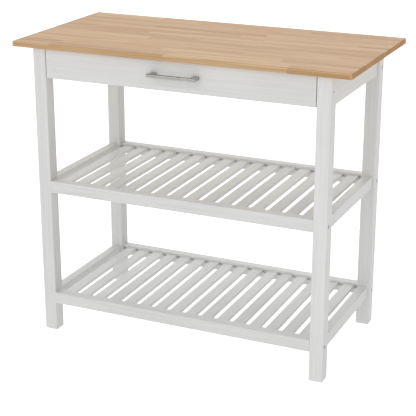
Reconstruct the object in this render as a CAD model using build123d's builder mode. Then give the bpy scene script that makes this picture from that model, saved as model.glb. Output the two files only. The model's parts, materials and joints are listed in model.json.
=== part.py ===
"""Kitchen island: hardwood worktop on a painted frame, two slatted shelves, one full-width drawer.

Units are millimetres. The frame stands on Z = 0, X runs along the worktop and the front faces -Y.
Pieces are drawn about the middle of the frame. They are saved with the origin on the floor under
the middle of the whole island, which is a little further forward because the handle stands out.
"""
import os
from build123d import *

# ---------------------------------------------------------------- driving dimensions
HEIGHT = 895.0
TOP_LENGTH, TOP_WIDTH, TOP_THICKNESS = 1018.0, 506.0, 16.0
TOP_EDGE_ROUND, TOP_CORNER_ROUND = 4.0, 6.0

FRAME_LENGTH, FRAME_DEPTH = 900.0, 470.0
LEG = 40.0
EDGE_ROUND, SLAT_EDGE_ROUND, LOWER_CHAMFER = 1.5, 1.2, 1.2

RAIL_THICKNESS, RAIL_HEIGHT = 28.0, 36.0
SHELF_LEVELS = {"lower": 89.0, "upper": 445.0}
SIDE_INSET = 7.0
REBATE_WIDTH, REBATE_HEIGHT = 8.0, 11.0
TENON_THICKNESS, TENON_LENGTH, TENON_SHOULDER = 12.0, 18.0, 6.0

SLATS_PER_SHELF = 16
SLAT_WIDTH, SLAT_THICKNESS = 33.0, 9.0
SLAT_DROP = 6.0
GROOVE_DEPTH, SLAT_END_GAP = 7.0, 1.0

APRON_THICKNESS, APRON_HEIGHT = 22.0, 89.0
APRON_TENON_LENGTH, APRON_TENON_HEIGHT = 27.0, 32.0
STRETCHER_WIDTH, STRETCHER_THICKNESS = 40.0, 18.0
CLEAT = 20.0
BATTEN_HEIGHT = 30.0

BOLT_SPACING = 50.0
BOLT_DIAMETER, BOLT_LENGTH = 6.0, 65.0
BOLT_HEAD_DIAMETER, BOLT_HEAD_HEIGHT = 10.0, 6.0
BOLT_RECESS_DIAMETER, BOLT_RECESS_DEPTH = 10.6, 10.0
BOLT_CLEARANCE = 0.25
BARREL_DIAMETER, BARREL_LENGTH, BARREL_SETBACK = 10.0, 16.0, 30.0
HEX_SOCKET, HEX_DEPTH = 4.0, 3.0
DOWEL_DIAMETER, DOWEL_LENGTH, DOWEL_OFFSET = 8.0, 32.0, 11.0
PIN_DIAMETER, PIN_LENGTH, PIN_RECESS, PIN_FROM_FACE = 8.0, 26.0, 5.0, 19.0

DRAWER_GAP = 2.0
DRAWER_FRONT_THICKNESS = 16.0
BOX_THICKNESS, BOX_HEIGHT, BOX_DEPTH = 12.0, 58.0, 390.0
BOX_BOTTOM_Z = 799.0
BOTTOM_THICKNESS, BOTTOM_INSET, BOTTOM_LIFT = 6.0, 6.0, 8.0

SLIDE_SPACE, SLIDE_LENGTH, SLIDE_HEIGHT, SLIDE_Z = 12.5, 380.0, 35.0, 830.0
SLIDE_SHEET, SLIDE_FLANGE, SLIDE_LIP = 1.2, 9.0, 3.0
INNER_HEIGHT, INNER_FLANGE = 24.0, 9.0
CAGE_LENGTH, CAGE_SHEET, CAGE_WEB_OFFSET, CAGE_FLANGE = 96.0, 0.8, 1.9, 5.6
BALL_DIAMETER, BALLS_PER_ROW, BALL_PITCH, BALL_OFFSET = 3.5, 8, 11.5, 5.0
BALL_ROW_HEIGHT = 14.15
SLIDE_FRONT_CLEARANCE = 2.0
SLIDE_SCREW_YS = (-165.0, -27.0, 125.0)

HANDLE_LENGTH, HANDLE_HEIGHT, HANDLE_PROJECTION = 148.0, 9.0, 30.0
HANDLE_BAR_DEPTH, HANDLE_FOOT_WIDTH = 8.0, 20.0
HANDLE_ROUND, HANDLE_CORNER = 0.9, 1.6
HANDLE_Z = 838.0

SCREW_DIAMETER, SCREW_HEAD_DIAMETER, SCREW_HEAD_HEIGHT = 4.0, 8.0, 2.4
SLOT_LENGTH, SLOT_WIDTH = 4.4, 1.0
TOP_SCREW_LENGTH, FRONT_SCREW_LENGTH = 30.0, 24.0
HANDLE_SCREW_LENGTH, SLIDE_SCREW_LENGTH = 36.0, 9.0
STRETCHER_SCREW_XS = (-300.0, 0.0, 300.0)
SIDE_CLEAT_SCREW_YS = (-130.0, 0.0, 130.0)
BACK_CLEAT_SCREW_XS = (-330.0, -110.0, 110.0, 330.0)
FRONT_SCREW_XS = (-340.0, -150.0, 150.0, 340.0)
FRONT_SCREW_ZS = (819.0, 846.0)

# ---------------------------------------------------------------- places worked out from them
FRAME_TOP = HEIGHT - TOP_THICKNESS
LEG_X = FRAME_LENGTH / 2 - LEG / 2
LEG_Y = FRAME_DEPTH / 2 - LEG / 2
INNER_X = FRAME_LENGTH / 2 - LEG
INNER_Y = FRAME_DEPTH / 2 - LEG
SIDE_OUT_X = FRAME_LENGTH / 2 - SIDE_INSET
SIDE_RAIL_X = SIDE_OUT_X - RAIL_THICKNESS / 2
LONG_RAIL_Y = FRAME_DEPTH / 2 - RAIL_THICKNESS / 2
SIDE_APRON_X = SIDE_OUT_X - APRON_THICKNESS / 2
BACK_APRON_Y = FRAME_DEPTH / 2 - APRON_THICKNESS / 2
APRON_Z = FRAME_TOP - APRON_HEIGHT / 2
APRON_INNER_X = SIDE_OUT_X - APRON_THICKNESS
APRON_INNER_Y = FRAME_DEPTH / 2 - APRON_THICKNESS
FRONT_FACE_Y = -FRAME_DEPTH / 2
BOX_FRONT_Y = FRONT_FACE_Y + DRAWER_FRONT_THICKNESS
BOX_BACK_Y = BOX_FRONT_Y + BOX_DEPTH
BOX_OUTER_X = INNER_X - SLIDE_SPACE
BOX_Z = BOX_BOTTOM_Z + BOX_HEIGHT / 2
SLIDE_Y = BOX_FRONT_Y + SLIDE_FRONT_CLEARANCE + SLIDE_LENGTH / 2
STRETCHER_Y = BOX_FRONT_Y + SLIDE_FRONT_CLEARANCE + STRETCHER_WIDTH / 2
ORIGIN_SHIFT_Y = (FRAME_DEPTH / 2 + HANDLE_PROJECTION - TOP_WIDTH / 2) / 2
DOWEL_Y = STRETCHER_Y - STRETCHER_WIDTH / 4
CLEAT_Z = FRAME_TOP - CLEAT / 2
SIDE_CLEAT_X = APRON_INNER_X - CLEAT / 2
BACK_CLEAT_Y = APRON_INNER_Y - CLEAT / 2
BATTEN_THICKNESS = APRON_INNER_X - INNER_X

os.makedirs("parts", exist_ok=True)


def save(piece, name):
    """Set a finished piece about the island's origin, label it with its node name and write it."""
    placed = piece.moved(Location((0, ORIGIN_SHIFT_Y, 0)))
    placed.label = name
    export_step(placed, f"parts/{name}.step")


def apron_bolt_heights():
    """Heights of the two connector bolts at each end of the back apron."""
    return [APRON_Z - BOLT_SPACING / 2, APRON_Z + BOLT_SPACING / 2]


def bolt_places():
    """Every connector bolt as (end, y, z), where end is -1 at the left legs and +1 at the right."""
    places = []
    for end in (-1, 1):
        for rail_bottom in SHELF_LEVELS.values():
            for side in (-1, 1):
                places.append((end, side * LONG_RAIL_Y, rail_bottom + RAIL_HEIGHT / 2))
        for height in apron_bolt_heights():
            places.append((end, BACK_APRON_Y, height))
    return places


def dowel_places():
    """Dowels as (end, y, z): one beside each long-rail bolt, and one in each end of the stretcher."""
    places = []
    for end in (-1, 1):
        places.append((end, DOWEL_Y, FRAME_TOP - STRETCHER_THICKNESS / 2))
        for rail_bottom in SHELF_LEVELS.values():
            for side in (-1, 1):
                places.append((end, side * LONG_RAIL_Y, rail_bottom + RAIL_HEIGHT / 2 + DOWEL_OFFSET))
    return places


def screw_shapes(plane, points, length, head_height=SCREW_HEAD_HEIGHT):
    """Plain flat-head screws, also used to cut their own holes; the plane faces the way they go in."""
    with BuildPart() as shapes:
        for radius, depth in ((SCREW_DIAMETER / 2, length), (SCREW_HEAD_DIAMETER / 2, head_height)):
            with BuildSketch(plane):
                with Locations(points):
                    Circle(radius)
            extrude(amount=depth)
    return shapes.part


def make_screws(plane, points, length, head_height=SCREW_HEAD_HEIGHT):
    """The same screws with a driver slot in each head."""
    with BuildPart() as screws:
        add(screw_shapes(plane, points, length, head_height))
        with BuildSketch(plane):
            with Locations(points):
                Rectangle(SLOT_LENGTH, SLOT_WIDTH)
        extrude(amount=head_height / 2, mode=Mode.SUBTRACT)
    return screws.part


STRETCHER_SCREWS_UP = Plane.XY.offset(FRAME_TOP - STRETCHER_THICKNESS)
STRETCHER_SCREW_POINTS = [(x, STRETCHER_Y) for x in STRETCHER_SCREW_XS]
CLEAT_SCREWS_UP = Plane.XY.offset(FRAME_TOP - CLEAT)
CLEAT_SCREW_POINTS = {
    "left": [(-SIDE_CLEAT_X, y) for y in SIDE_CLEAT_SCREW_YS],
    "right": [(SIDE_CLEAT_X, y) for y in SIDE_CLEAT_SCREW_YS],
    "back": [(x, BACK_CLEAT_Y) for x in BACK_CLEAT_SCREW_XS],
}
BOX_INNER_FACE = Plane(origin=(0, BOX_FRONT_Y + BOX_THICKNESS, 0), x_dir=(1, 0, 0), z_dir=(0, -1, 0))
FRONT_SCREW_POINTS = [(x, z) for x in FRONT_SCREW_XS for z in FRONT_SCREW_ZS]
HANDLE_SCREW_X = HANDLE_LENGTH / 2 - HANDLE_FOOT_WIDTH / 2
HANDLE_SCREW_POINTS = [(-HANDLE_SCREW_X, HANDLE_Z), (HANDLE_SCREW_X, HANDLE_Z)]


def slide_screw_plane(end, inner):
    """Plane of a slide member's screw heads: the inner member's face inward, the outer's outward."""
    if inner:
        return Plane(origin=(end * (BOX_OUTER_X + SLIDE_SHEET), 0, 0), x_dir=(0, -end, 0), z_dir=(-end, 0, 0))
    return Plane(origin=(end * (INNER_X - SLIDE_SHEET), 0, 0), x_dir=(0, end, 0), z_dir=(end, 0, 0))


def slide_screw_points(end, inner):
    """Places of one slide member's screws on its screw plane."""
    along = -end if inner else end
    return [(along * y, SLIDE_Z) for y in SLIDE_SCREW_YS]


# ---------------------------------------------------------------- worktop
with BuildPart() as top_panel:
    with BuildSketch(Plane.XY.offset(FRAME_TOP)):
        Rectangle(TOP_LENGTH, TOP_WIDTH)
    extrude(amount=TOP_THICKNESS)
    fillet(top_panel.edges().filter_by(Axis.Z), radius=TOP_CORNER_ROUND)
    fillet(top_panel.faces().sort_by(Axis.Z)[-1].edges(), radius=TOP_EDGE_ROUND)
    chamfer(top_panel.faces().sort_by(Axis.Z)[0].edges(), length=LOWER_CHAMFER)
    add(screw_shapes(STRETCHER_SCREWS_UP, STRETCHER_SCREW_POINTS, TOP_SCREW_LENGTH), mode=Mode.SUBTRACT)
    for cleat_points in CLEAT_SCREW_POINTS.values():
        add(screw_shapes(CLEAT_SCREWS_UP, cleat_points, TOP_SCREW_LENGTH), mode=Mode.SUBTRACT)
save(top_panel.part, "top_panel")


# ---------------------------------------------------------------- legs
def make_leg(end, side):
    """One leg, with its bolt recesses, dowel holes, mortises for the side pieces and pin hole."""
    outer_face = Plane(origin=(end * FRAME_LENGTH / 2, 0, 0), x_dir=(0, end, 0), z_dir=(end, 0, 0))
    inner_face = Plane(origin=(end * INNER_X, 0, 0), x_dir=(0, -end, 0), z_dir=(-end, 0, 0))
    mortise_face = Plane(origin=(0, side * INNER_Y, 0), x_dir=(side, 0, 0), z_dir=(0, -side, 0))
    with BuildPart() as leg:
        with BuildSketch():
            with Locations((end * LEG_X, side * LEG_Y)):
                Rectangle(LEG, LEG)
        extrude(amount=FRAME_TOP)
        fillet(leg.edges().filter_by(Axis.Z), radius=EDGE_ROUND)
        chamfer(leg.faces().sort_by(Axis.Z)[0].edges(), length=LOWER_CHAMFER)
        bolts = [(y, z) for where, y, z in bolt_places() if where == end and y * side > 0]
        with BuildSketch(outer_face):
            with Locations([(end * y, z) for y, z in bolts]):
                Circle(BOLT_RECESS_DIAMETER / 2)
        extrude(amount=-BOLT_RECESS_DEPTH, mode=Mode.SUBTRACT)
        with BuildSketch(outer_face):
            with Locations([(end * y, z) for y, z in bolts]):
                Circle(BOLT_DIAMETER / 2 + BOLT_CLEARANCE)
        extrude(amount=-LEG, mode=Mode.SUBTRACT)
        dowels = [(y, z) for where, y, z in dowel_places() if where == end and y * side > 0]
        with BuildSketch(inner_face):
            with Locations([(-end * y, z) for y, z in dowels]):
                Circle(DOWEL_DIAMETER / 2)
        extrude(amount=-DOWEL_LENGTH / 2, mode=Mode.SUBTRACT)
        for rail_bottom in SHELF_LEVELS.values():
            with BuildSketch(mortise_face):
                with Locations((side * end * SIDE_RAIL_X, rail_bottom + RAIL_HEIGHT / 2)):
                    Rectangle(TENON_THICKNESS, RAIL_HEIGHT - 2 * TENON_SHOULDER)
            extrude(amount=-TENON_LENGTH, mode=Mode.SUBTRACT)
        with BuildSketch(mortise_face):
            with Locations((side * end * SIDE_APRON_X, APRON_Z)):
                Rectangle(TENON_THICKNESS, APRON_TENON_HEIGHT)
        extrude(amount=-APRON_TENON_LENGTH, mode=Mode.SUBTRACT)
        with BuildSketch(outer_face):
            with Locations((end * side * (FRAME_DEPTH / 2 - PIN_FROM_FACE), APRON_Z)):
                Circle(PIN_DIAMETER / 2)
        extrude(amount=-(PIN_LENGTH + PIN_RECESS), mode=Mode.SUBTRACT)
    return leg.part


for side_name, side in (("front", -1), ("back", 1)):
    for end_name, end in (("left", -1), ("right", 1)):
        save(make_leg(end, side), f"leg_{side_name}_{end_name}")


# ---------------------------------------------------------------- shelf rails
def make_long_rail(side, rail_bottom):
    """Front or back shelf rail: grooved for the slats, rebated below, drilled at both ends."""
    centre_z = rail_bottom + RAIL_HEIGHT / 2
    inner_y = FRAME_DEPTH / 2 - RAIL_THICKNESS
    slat_top = rail_bottom + RAIL_HEIGHT - SLAT_DROP
    with BuildPart() as rail:
        with BuildSketch(Plane.YZ.offset(-INNER_X)):
            with Locations((side * LONG_RAIL_Y, centre_z)):
                Rectangle(RAIL_THICKNESS, RAIL_HEIGHT)
            with Locations((side * (inner_y + REBATE_WIDTH / 2), rail_bottom + REBATE_HEIGHT / 2)):
                Rectangle(REBATE_WIDTH, REBATE_HEIGHT, mode=Mode.SUBTRACT)
            with Locations((side * (inner_y + GROOVE_DEPTH / 2), slat_top - SLAT_THICKNESS / 2)):
                Rectangle(GROOVE_DEPTH, SLAT_THICKNESS, mode=Mode.SUBTRACT)
        extrude(amount=2 * INNER_X)
        edges_by_height = rail.edges().filter_by(Axis.X).group_by(Axis.Z)
        fillet(edges_by_height[0] + edges_by_height[-1], radius=EDGE_ROUND)
        for end in (-1, 1):
            end_face = Plane(origin=(end * INNER_X, 0, 0), x_dir=(0, end, 0), z_dir=(end, 0, 0))
            with BuildSketch(end_face):
                with Locations((end * side * LONG_RAIL_Y, centre_z)):
                    Circle(BOLT_DIAMETER / 2 + BOLT_CLEARANCE)
            extrude(amount=-(BARREL_SETBACK + BARREL_DIAMETER), mode=Mode.SUBTRACT)
            with BuildSketch(end_face):
                with Locations((end * side * LONG_RAIL_Y, centre_z + DOWEL_OFFSET)):
                    Circle(DOWEL_DIAMETER / 2)
            extrude(amount=-DOWEL_LENGTH / 2, mode=Mode.SUBTRACT)
            with BuildSketch(Plane.XY.offset(rail_bottom)):
                with Locations((end * (INNER_X - BARREL_SETBACK), side * LONG_RAIL_Y)):
                    Circle(BARREL_DIAMETER / 2)
            extrude(amount=RAIL_HEIGHT / 2 + BARREL_LENGTH / 2, mode=Mode.SUBTRACT)
    return rail.part


def make_side_rail(end, rail_bottom):
    """Left or right shelf rail, with a stub tenon at each end."""
    centre_z = rail_bottom + RAIL_HEIGHT / 2
    inner_x = SIDE_OUT_X - RAIL_THICKNESS
    with BuildPart() as rail:
        with BuildSketch(Plane.XZ.offset(-INNER_Y)):
            with Locations((end * SIDE_RAIL_X, centre_z)):
                Rectangle(RAIL_THICKNESS, RAIL_HEIGHT)
            with Locations((end * (inner_x + REBATE_WIDTH / 2), rail_bottom + REBATE_HEIGHT / 2)):
                Rectangle(REBATE_WIDTH, REBATE_HEIGHT, mode=Mode.SUBTRACT)
        extrude(amount=2 * INNER_Y)
        edges_by_height = rail.edges().filter_by(Axis.Y).group_by(Axis.Z)
        fillet(edges_by_height[0] + edges_by_height[-1], radius=EDGE_ROUND)
        with BuildSketch(Plane.XZ.offset(-(INNER_Y + TENON_LENGTH))):
            with Locations((end * SIDE_RAIL_X, centre_z)):
                Rectangle(TENON_THICKNESS, RAIL_HEIGHT - 2 * TENON_SHOULDER)
        extrude(amount=2 * (INNER_Y + TENON_LENGTH))
    return rail.part


for level, rail_bottom in SHELF_LEVELS.items():
    save(make_long_rail(-1, rail_bottom), f"{level}_front_rail")
    save(make_long_rail(1, rail_bottom), f"{level}_back_rail")
    save(make_side_rail(-1, rail_bottom), f"{level}_left_rail")
    save(make_side_rail(1, rail_bottom), f"{level}_right_rail")


# ---------------------------------------------------------------- slats
def make_slats(first, count, rail_bottom):
    """A run of neighbouring slats, each a separate solid that ends inside the rail grooves."""
    opening = 2 * (SIDE_OUT_X - RAIL_THICKNESS)
    gap = (opening - SLATS_PER_SHELF * SLAT_WIDTH) / (SLATS_PER_SHELF + 1)
    pitch = SLAT_WIDTH + gap
    first_x = -opening / 2 + gap + SLAT_WIDTH / 2
    slat_length = FRAME_DEPTH - 2 * RAIL_THICKNESS + 2 * (GROOVE_DEPTH - SLAT_END_GAP)
    slat_bottom = rail_bottom + RAIL_HEIGHT - SLAT_DROP - SLAT_THICKNESS
    with BuildPart() as slats:
        with BuildSketch(Plane.XY.offset(slat_bottom)):
            with Locations([(first_x + (first + i) * pitch, 0) for i in range(count)]):
                Rectangle(SLAT_WIDTH, slat_length)
        extrude(amount=SLAT_THICKNESS)
        fillet(slats.edges().filter_by(Axis.Y), radius=SLAT_EDGE_ROUND)
    return slats.part


HALF_SHELF = SLATS_PER_SHELF // 2
for level, rail_bottom in SHELF_LEVELS.items():
    save(make_slats(0, HALF_SHELF, rail_bottom), f"{level}_slats_left")
    save(make_slats(HALF_SHELF, HALF_SHELF, rail_bottom), f"{level}_slats_right")


# ---------------------------------------------------------------- aprons and stretcher
def make_side_apron(end):
    """Left or right apron, with a pinned tenon at each end."""
    outer_face = Plane(origin=(end * FRAME_LENGTH / 2, 0, 0), x_dir=(0, end, 0), z_dir=(end, 0, 0))
    with BuildPart() as apron:
        with BuildSketch(Plane.XZ.offset(-INNER_Y)):
            with Locations((end * SIDE_APRON_X, APRON_Z)):
                Rectangle(APRON_THICKNESS, APRON_HEIGHT)
        extrude(amount=2 * INNER_Y)
        fillet(apron.edges().filter_by(Axis.Y).group_by(Axis.Z)[0], radius=EDGE_ROUND)
        with BuildSketch(Plane.XZ.offset(-(INNER_Y + APRON_TENON_LENGTH))):
            with Locations((end * SIDE_APRON_X, APRON_Z)):
                Rectangle(TENON_THICKNESS, APRON_TENON_HEIGHT)
        extrude(amount=2 * (INNER_Y + APRON_TENON_LENGTH))
        pin_y = FRAME_DEPTH / 2 - PIN_FROM_FACE
        with BuildSketch(outer_face):
            with Locations((-pin_y, APRON_Z), (pin_y, APRON_Z)):
                Circle(PIN_DIAMETER / 2)
        extrude(amount=-(PIN_LENGTH + PIN_RECESS), mode=Mode.SUBTRACT)
    return apron.part


save(make_side_apron(-1), "left_apron")
save(make_side_apron(1), "right_apron")

with BuildPart() as back_apron:
    with BuildSketch(Plane.YZ.offset(-INNER_X)):
        with Locations((BACK_APRON_Y, APRON_Z)):
            Rectangle(APRON_THICKNESS, APRON_HEIGHT)
    extrude(amount=2 * INNER_X)
    fillet(back_apron.edges().filter_by(Axis.X).group_by(Axis.Z)[0], radius=EDGE_ROUND)
    for end in (-1, 1):
        with BuildSketch(Plane(origin=(end * INNER_X, 0, 0), x_dir=(0, end, 0), z_dir=(end, 0, 0))):
            with Locations([(end * BACK_APRON_Y, z) for z in apron_bolt_heights()]):
                Circle(BOLT_DIAMETER / 2 + BOLT_CLEARANCE)
        extrude(amount=-(BARREL_SETBACK + BARREL_DIAMETER), mode=Mode.SUBTRACT)
        with BuildSketch(Plane(origin=(0, APRON_INNER_Y, 0), x_dir=(1, 0, 0), z_dir=(0, -1, 0))):
            with Locations([(end * (INNER_X - BARREL_SETBACK), z) for z in apron_bolt_heights()]):
                Circle(BARREL_DIAMETER / 2)
        extrude(amount=-(APRON_THICKNESS / 2 + BARREL_LENGTH / 2), mode=Mode.SUBTRACT)
save(back_apron.part, "back_apron")

with BuildPart() as front_stretcher:
    with BuildSketch(Plane.XY.offset(FRAME_TOP - STRETCHER_THICKNESS)):
        with Locations((0, STRETCHER_Y)):
            Rectangle(2 * INNER_X, STRETCHER_WIDTH)
    extrude(amount=STRETCHER_THICKNESS)
    for end in (-1, 1):
        with BuildSketch(Plane(origin=(end * INNER_X, 0, 0), x_dir=(0, end, 0), z_dir=(end, 0, 0))):
            with Locations((end * DOWEL_Y, FRAME_TOP - STRETCHER_THICKNESS / 2)):
                Circle(DOWEL_DIAMETER / 2)
        extrude(amount=-DOWEL_LENGTH / 2, mode=Mode.SUBTRACT)
    add(screw_shapes(STRETCHER_SCREWS_UP, STRETCHER_SCREW_POINTS, TOP_SCREW_LENGTH), mode=Mode.SUBTRACT)
save(front_stretcher.part, "front_stretcher")


# ---------------------------------------------------------------- cleats and battens
def make_cleat(centre, size, screw_points):
    """A square batten under the worktop, drilled for the screws that hold the worktop down."""
    with BuildPart() as cleat:
        with BuildSketch(Plane.XY.offset(CLEAT_Z - CLEAT / 2)):
            with Locations(centre):
                Rectangle(*size)
        extrude(amount=CLEAT)
        add(screw_shapes(CLEAT_SCREWS_UP, screw_points, TOP_SCREW_LENGTH), mode=Mode.SUBTRACT)
    return cleat.part


def make_batten(end):
    """A strip between two legs that carries a drawer slide flush with their inner faces."""
    with BuildPart() as batten:
        with BuildSketch(Plane.XY.offset(SLIDE_Z - BATTEN_HEIGHT / 2)):
            with Locations((end * (INNER_X + BATTEN_THICKNESS / 2), 0)):
                Rectangle(BATTEN_THICKNESS, 2 * INNER_Y)
        extrude(amount=BATTEN_HEIGHT)
        plane = slide_screw_plane(end, inner=False)
        points = slide_screw_points(end, inner=False)
        add(screw_shapes(plane, points, SLIDE_SCREW_LENGTH, SLIDE_SHEET), mode=Mode.SUBTRACT)
    return batten.part


SIDE_CLEAT_SIZE = (CLEAT, 2 * (INNER_Y - CLEAT))
BACK_CLEAT_SIZE = (2 * (INNER_X - CLEAT), CLEAT)
for end_name, end in (("left", -1), ("right", 1)):
    side_cleat = make_cleat((end * SIDE_CLEAT_X, 0), SIDE_CLEAT_SIZE, CLEAT_SCREW_POINTS[end_name])
    save(side_cleat, f"top_cleat_{end_name}")
    save(make_batten(end), f"runner_batten_{end_name}")
save(make_cleat((0, BACK_CLEAT_Y), BACK_CLEAT_SIZE, CLEAT_SCREW_POINTS["back"]), "top_cleat_back")

# ---------------------------------------------------------------- fasteners of the frame
with BuildPart() as connector_bolts:
    for end in (-1, 1):
        points = [(end * y, z) for where, y, z in bolt_places() if where == end]
        head_seat = Plane(
            origin=(end * (FRAME_LENGTH / 2 - BOLT_RECESS_DEPTH), 0, 0), x_dir=(0, end, 0), z_dir=(end, 0, 0)
        )
        with BuildSketch(head_seat):
            with Locations(points):
                Circle(BOLT_DIAMETER / 2)
        extrude(amount=-BOLT_LENGTH)
        with BuildSketch(head_seat):
            with Locations(points):
                Circle(BOLT_HEAD_DIAMETER / 2)
        extrude(amount=BOLT_HEAD_HEIGHT)
        with BuildSketch(head_seat.offset(BOLT_HEAD_HEIGHT)):
            with Locations(points):
                RegularPolygon(HEX_SOCKET / 2, 6, major_radius=False)
        extrude(amount=-HEX_DEPTH, mode=Mode.SUBTRACT)
save(connector_bolts.part, "connector_bolts")

with BuildPart() as barrel_nuts:
    for end, y, z in bolt_places():
        nut_x = end * (INNER_X - BARREL_SETBACK)
        in_apron = z > SHELF_LEVELS["upper"] + RAIL_HEIGHT
        if in_apron:
            middle = Plane(origin=(nut_x, y, z), x_dir=(1, 0, 0), z_dir=(0, -1, 0))
        else:
            middle = Plane(origin=(nut_x, y, z), x_dir=(1, 0, 0), z_dir=(0, 0, 1))
        with BuildSketch(middle):
            Circle(BARREL_DIAMETER / 2)
        extrude(amount=BARREL_LENGTH / 2, both=True)
        with BuildSketch(Plane(origin=(nut_x, y, z), x_dir=(0, 1, 0), z_dir=(1, 0, 0))):
            Circle(BOLT_DIAMETER / 2)
        extrude(amount=BARREL_DIAMETER, both=True, mode=Mode.SUBTRACT)
save(barrel_nuts.part, "barrel_nuts")

with BuildPart() as frame_dowels:
    for end in (-1, 1):
        with BuildSketch(Plane(origin=(end * INNER_X, 0, 0), x_dir=(0, end, 0), z_dir=(end, 0, 0))):
            with Locations([(end * y, z) for where, y, z in dowel_places() if where == end]):
                Circle(DOWEL_DIAMETER / 2)
        extrude(amount=DOWEL_LENGTH / 2, both=True)
save(frame_dowels.part, "frame_dowels")

with BuildPart() as apron_pins:
    for end in (-1, 1):
        pin_y = FRAME_DEPTH / 2 - PIN_FROM_FACE
        pin_end = end * (FRAME_LENGTH / 2 - PIN_RECESS)
        with BuildSketch(Plane(origin=(pin_end, 0, 0), x_dir=(0, end, 0), z_dir=(end, 0, 0))):
            with Locations((-pin_y, APRON_Z), (pin_y, APRON_Z)):
                Circle(PIN_DIAMETER / 2)
        extrude(amount=-PIN_LENGTH)
save(apron_pins.part, "apron_pins")

with BuildPart() as top_screws:
    add(make_screws(STRETCHER_SCREWS_UP, STRETCHER_SCREW_POINTS, TOP_SCREW_LENGTH))
    for cleat_points in CLEAT_SCREW_POINTS.values():
        add(make_screws(CLEAT_SCREWS_UP, cleat_points, TOP_SCREW_LENGTH))
save(top_screws.part, "top_screws")


# ---------------------------------------------------------------- drawer
BOTTOM_LENGTH = 2 * (BOX_OUTER_X - BOX_THICKNESS + BOTTOM_INSET)
BOTTOM_WIDTH = BOX_DEPTH - 2 * (BOX_THICKNESS - BOTTOM_INSET)

with BuildPart() as drawer_bottom:
    with BuildSketch(Plane.XY.offset(BOX_BOTTOM_Z + BOTTOM_LIFT)):
        with Locations((0, (BOX_FRONT_Y + BOX_BACK_Y) / 2)):
            Rectangle(BOTTOM_LENGTH, BOTTOM_WIDTH)
    extrude(amount=BOTTOM_THICKNESS)
save(drawer_bottom.part, "drawer_bottom")

with BuildPart() as drawer_front:
    with BuildSketch(Plane.XZ.offset(-FRONT_FACE_Y)):
        with Locations((0, APRON_Z)):
            Rectangle(2 * (INNER_X - DRAWER_GAP), APRON_HEIGHT - 2 * DRAWER_GAP)
    extrude(amount=-DRAWER_FRONT_THICKNESS)
    fillet(drawer_front.faces().sort_by(Axis.Y)[0].edges(), radius=EDGE_ROUND)
    add(screw_shapes(BOX_INNER_FACE, FRONT_SCREW_POINTS, FRONT_SCREW_LENGTH), mode=Mode.SUBTRACT)
    add(screw_shapes(BOX_INNER_FACE, HANDLE_SCREW_POINTS, HANDLE_SCREW_LENGTH), mode=Mode.SUBTRACT)
save(drawer_front.part, "drawer_front")

with BuildPart() as drawer_box_front:
    with BuildSketch(Plane.XZ.offset(-BOX_FRONT_Y)):
        with Locations((0, BOX_Z)):
            Rectangle(2 * (BOX_OUTER_X - BOX_THICKNESS), BOX_HEIGHT)
    extrude(amount=-BOX_THICKNESS)
    add(drawer_bottom.part, mode=Mode.SUBTRACT)
    add(screw_shapes(BOX_INNER_FACE, FRONT_SCREW_POINTS, FRONT_SCREW_LENGTH), mode=Mode.SUBTRACT)
    add(screw_shapes(BOX_INNER_FACE, HANDLE_SCREW_POINTS, HANDLE_SCREW_LENGTH), mode=Mode.SUBTRACT)
save(drawer_box_front.part, "drawer_box_front")

with BuildPart() as drawer_box_back:
    with BuildSketch(Plane.XZ.offset(-BOX_BACK_Y)):
        with Locations((0, BOX_Z)):
            Rectangle(2 * (BOX_OUTER_X - BOX_THICKNESS), BOX_HEIGHT)
    extrude(amount=BOX_THICKNESS)
    add(drawer_bottom.part, mode=Mode.SUBTRACT)
save(drawer_box_back.part, "drawer_box_back")

for end_name, end in (("left", -1), ("right", 1)):
    with BuildPart() as drawer_side:
        with BuildSketch(Plane.XZ.offset(-BOX_FRONT_Y)):
            with Locations((end * (BOX_OUTER_X - BOX_THICKNESS / 2), BOX_Z)):
                Rectangle(BOX_THICKNESS, BOX_HEIGHT)
        extrude(amount=-BOX_DEPTH)
        fillet(drawer_side.edges().filter_by(Axis.Y).group_by(Axis.Z)[-1], radius=EDGE_ROUND)
        add(drawer_bottom.part, mode=Mode.SUBTRACT)
        plane = slide_screw_plane(end, inner=True)
        points = slide_screw_points(end, inner=True)
        add(screw_shapes(plane, points, SLIDE_SCREW_LENGTH, SLIDE_SHEET), mode=Mode.SUBTRACT)
    save(drawer_side.part, f"drawer_side_{end_name}")

with BuildPart() as drawer_screws:
    add(make_screws(BOX_INNER_FACE, FRONT_SCREW_POINTS, FRONT_SCREW_LENGTH))
    add(make_screws(BOX_INNER_FACE, HANDLE_SCREW_POINTS, HANDLE_SCREW_LENGTH))
save(drawer_screws.part, "drawer_screws")


# ---------------------------------------------------------------- handle
def stands_clear_of_drawer(edge):
    """True for an edge of the handle that doesn't lie on the drawer front."""
    return edge.center().Y < FRONT_FACE_Y - HANDLE_ROUND


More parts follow.
